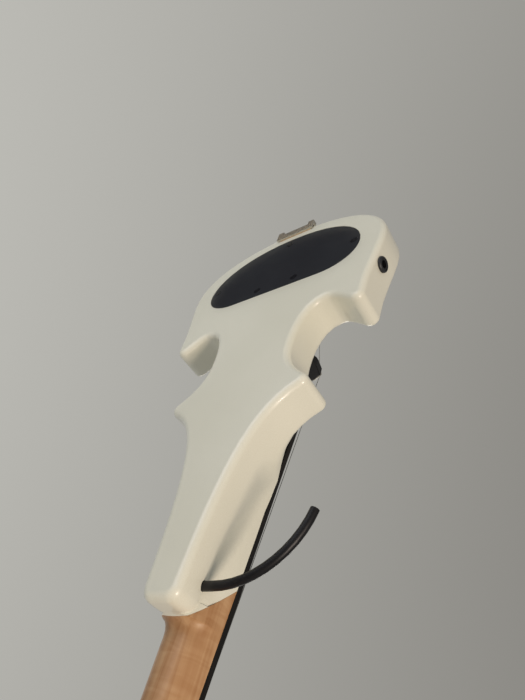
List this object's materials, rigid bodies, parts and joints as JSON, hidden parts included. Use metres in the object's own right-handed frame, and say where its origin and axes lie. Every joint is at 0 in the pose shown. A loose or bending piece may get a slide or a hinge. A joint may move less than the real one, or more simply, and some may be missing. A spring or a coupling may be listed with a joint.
{
  "type": "electric violin",
  "caption": "Solid-body electric violin with pointed horns, maple neck, back cover, chin rest, fine tuners, pegs, output jack and a bent hand guide rod.",
  "frame": {"origin": "on the flat back face of the body, on the centre line, under the bridge", "axes": "+X from the bridge to the tail, along the instrument; +Y to the treble side; +Z out of the front, away from the back face"},
  "size_m": [0.5795, 0.2, 0.076],
  "materials": {
    "pearl_lacquer": "pearl white gloss lacquer on wood",
    "maple": "amber gloss varnish",
    "ebony": "satin, near black",
    "black_plastic": "satin black",
    "black_rubber": "satin black",
    "nickel": "satin nickel",
    "black_metal": "black oxide",
    "steel": "bright wire",
    "cork": "raw cork",
    "battery_shell": "dark metallic wrap",
    "circuit_board": "green solder mask"
  },
  "bodies": {
    "violin": {"body": "pearl_lacquer", "neck": "maple", "fingerboard": "ebony", "nut": "ebony", "back_cover": "black_plastic", "cover_screw_1": "black_metal", "cover_screw_2": "black_metal", "cover_screw_3": "black_metal", "cover_screw_4": "black_metal", "cover_screw_5": "black_metal", "battery": "battery_shell", "preamp_board": "circuit_board", "output_jack": "black_metal", "jack_ring": "black_plastic", "volume_pot": "nickel", "tone_pot": "nickel", "guide_rod": "steel", "guide_sleeve": "black_rubber", "bridge": "black_plastic", "saddle_g": "nickel", "saddle_d": "nickel", "saddle_a": "nickel", "saddle_e": "nickel", "tailpiece": "ebony", "tuner_pin": "nickel", "tail_saddle": "ebony", "end_button": "ebony", "tail_loop": "black_rubber", "string_g": "steel", "string_d": "steel", "string_a": "steel", "string_e": "steel", "chinrest": "ebony", "chinrest_cork_1": "cork", "chinrest_cork_2": "cork", "clamp_bracket": "nickel"},
    "peg_g": {"peg_g": "ebony", "winding_g": "steel"},
    "peg_d": {"peg_d": "ebony", "winding_d": "steel"},
    "peg_a": {"peg_a": "ebony", "winding_a": "steel"},
    "peg_e": {"peg_e": "ebony", "winding_e": "steel"},
    "tuner_screw_g": {"tuner_screw_g": "nickel"},
    "tuner_screw_d": {"tuner_screw_d": "nickel"},
    "tuner_screw_a": {"tuner_screw_a": "nickel"},
    "tuner_screw_e": {"tuner_screw_e": "nickel"},
    "tuner_lever_g": {"tuner_lever_g": "nickel"},
    "tuner_lever_d": {"tuner_lever_d": "nickel"},
    "tuner_lever_a": {"tuner_lever_a": "nickel"},
    "tuner_lever_e": {"tuner_lever_e": "nickel"},
    "volume_knob": {"volume_knob": "black_plastic"},
    "tone_knob": {"tone_knob": "black_plastic"},
    "clamp_barrel_1": {"clamp_barrel_1": "nickel"},
    "clamp_barrel_2": {"clamp_barrel_2": "nickel"},
    "clamp_foot": {"clamp_foot": "nickel", "clamp_cork": "cork"}
  },
  "joints": [
    {"name": "peg_g_turn", "type": "hinge", "parent": "violin", "child": "peg_g", "pos_m": [-0.342, 0, 0.02224], "axis": [0, 1, 0], "range_deg": [-180, 180]},
    {"name": "peg_d_turn", "type": "hinge", "parent": "violin", "child": "peg_d", "pos_m": [-0.371, 0, 0.02027], "axis": [0, 1, 0], "range_deg": [-180, 180]},
    {"name": "peg_a_turn", "type": "hinge", "parent": "violin", "child": "peg_a", "pos_m": [-0.3855, 0, 0.01929], "axis": [0, 1, 0], "range_deg": [-180, 180]},
    {"name": "peg_e_turn", "type": "hinge", "parent": "violin", "child": "peg_e", "pos_m": [-0.3565, 0, 0.02126], "axis": [0, 1, 0], "range_deg": [-180, 180]},
    {"name": "tuner_screw_g_turn", "type": "hinge", "parent": "violin", "child": "tuner_screw_g", "pos_m": [0.07973, -0.0135, 0.04869], "axis": [-0.141, 0, -0.99], "range_deg": [0, 1080]},
    {"name": "tuner_screw_d_turn", "type": "hinge", "parent": "violin", "child": "tuner_screw_d", "pos_m": [0.07973, -0.0045, 0.04869], "axis": [-0.141, 0, -0.99], "range_deg": [0, 1080]},
    {"name": "tuner_screw_a_turn", "type": "hinge", "parent": "violin", "child": "tuner_screw_a", "pos_m": [0.07973, 0.0045, 0.04869], "axis": [-0.141, 0, -0.99], "range_deg": [0, 1080]},
    {"name": "tuner_screw_e_turn", "type": "hinge", "parent": "violin", "child": "tuner_screw_e", "pos_m": [0.07973, 0.0135, 0.04869], "axis": [-0.141, 0, -0.99], "range_deg": [0, 1080]},
    {"name": "tuner_lever_g_rock", "type": "hinge", "parent": "violin", "child": "tuner_lever_g", "pos_m": [0.06454, -0.0135, 0.04136], "axis": [0, 1, 0], "range_deg": [0, 5]},
    {"name": "tuner_lever_d_rock", "type": "hinge", "parent": "violin", "child": "tuner_lever_d", "pos_m": [0.06454, -0.0045, 0.04136], "axis": [0, 1, 0], "range_deg": [0, 5]},
    {"name": "tuner_lever_a_rock", "type": "hinge", "parent": "violin", "child": "tuner_lever_a", "pos_m": [0.06454, 0.0045, 0.04136], "axis": [0, 1, 0], "range_deg": [0, 5]},
    {"name": "tuner_lever_e_rock", "type": "hinge", "parent": "violin", "child": "tuner_lever_e", "pos_m": [0.06454, 0.0135, 0.04136], "axis": [0, 1, 0], "range_deg": [0, 5]},
    {"name": "volume_knob_turn", "type": "hinge", "parent": "violin", "child": "volume_knob", "pos_m": [0.068, 0.056, 0.038], "axis": [0, 0, 1], "range_deg": [-150, 150]},
    {"name": "tone_knob_turn", "type": "hinge", "parent": "violin", "child": "tone_knob", "pos_m": [0.095, 0.046, 0.038], "axis": [0, 0, 1], "range_deg": [-150, 150]},
    {"name": "clamp_barrel_1_turn", "type": "hinge", "parent": "violin", "child": "clamp_barrel_1", "pos_m": [0.1425, -0.0145, 0.0155], "axis": [0, 0, 1], "range_deg": [0, 1440]},
    {"name": "clamp_barrel_2_turn", "type": "hinge", "parent": "violin", "child": "clamp_barrel_2", "pos_m": [0.1425, 0.0195, 0.0155], "axis": [0, 0, 1], "range_deg": [0, 1440]},
    {"name": "clamp_foot_slide", "type": "slide", "parent": "violin", "child": "clamp_foot", "axis": [0, 0, -1], "range_m": [0, 0.004]}
  ],
  "couplings": [
    {"joint": "tuner_lever_g_rock", "follows": "tuner_screw_g_turn", "ratio": 0.004547},
    {"joint": "tuner_lever_d_rock", "follows": "tuner_screw_d_turn", "ratio": 0.004547},
    {"joint": "tuner_lever_a_rock", "follows": "tuner_screw_a_turn", "ratio": 0.004547},
    {"joint": "tuner_lever_e_rock", "follows": "tuner_screw_e_turn", "ratio": 0.004547},
    {"joint": "clamp_barrel_1_turn", "follows": "clamp_foot_slide", "rad_per_m": 6283.2},
    {"joint": "clamp_barrel_2_turn", "follows": "clamp_foot_slide", "rad_per_m": 6283.2}
  ]
}
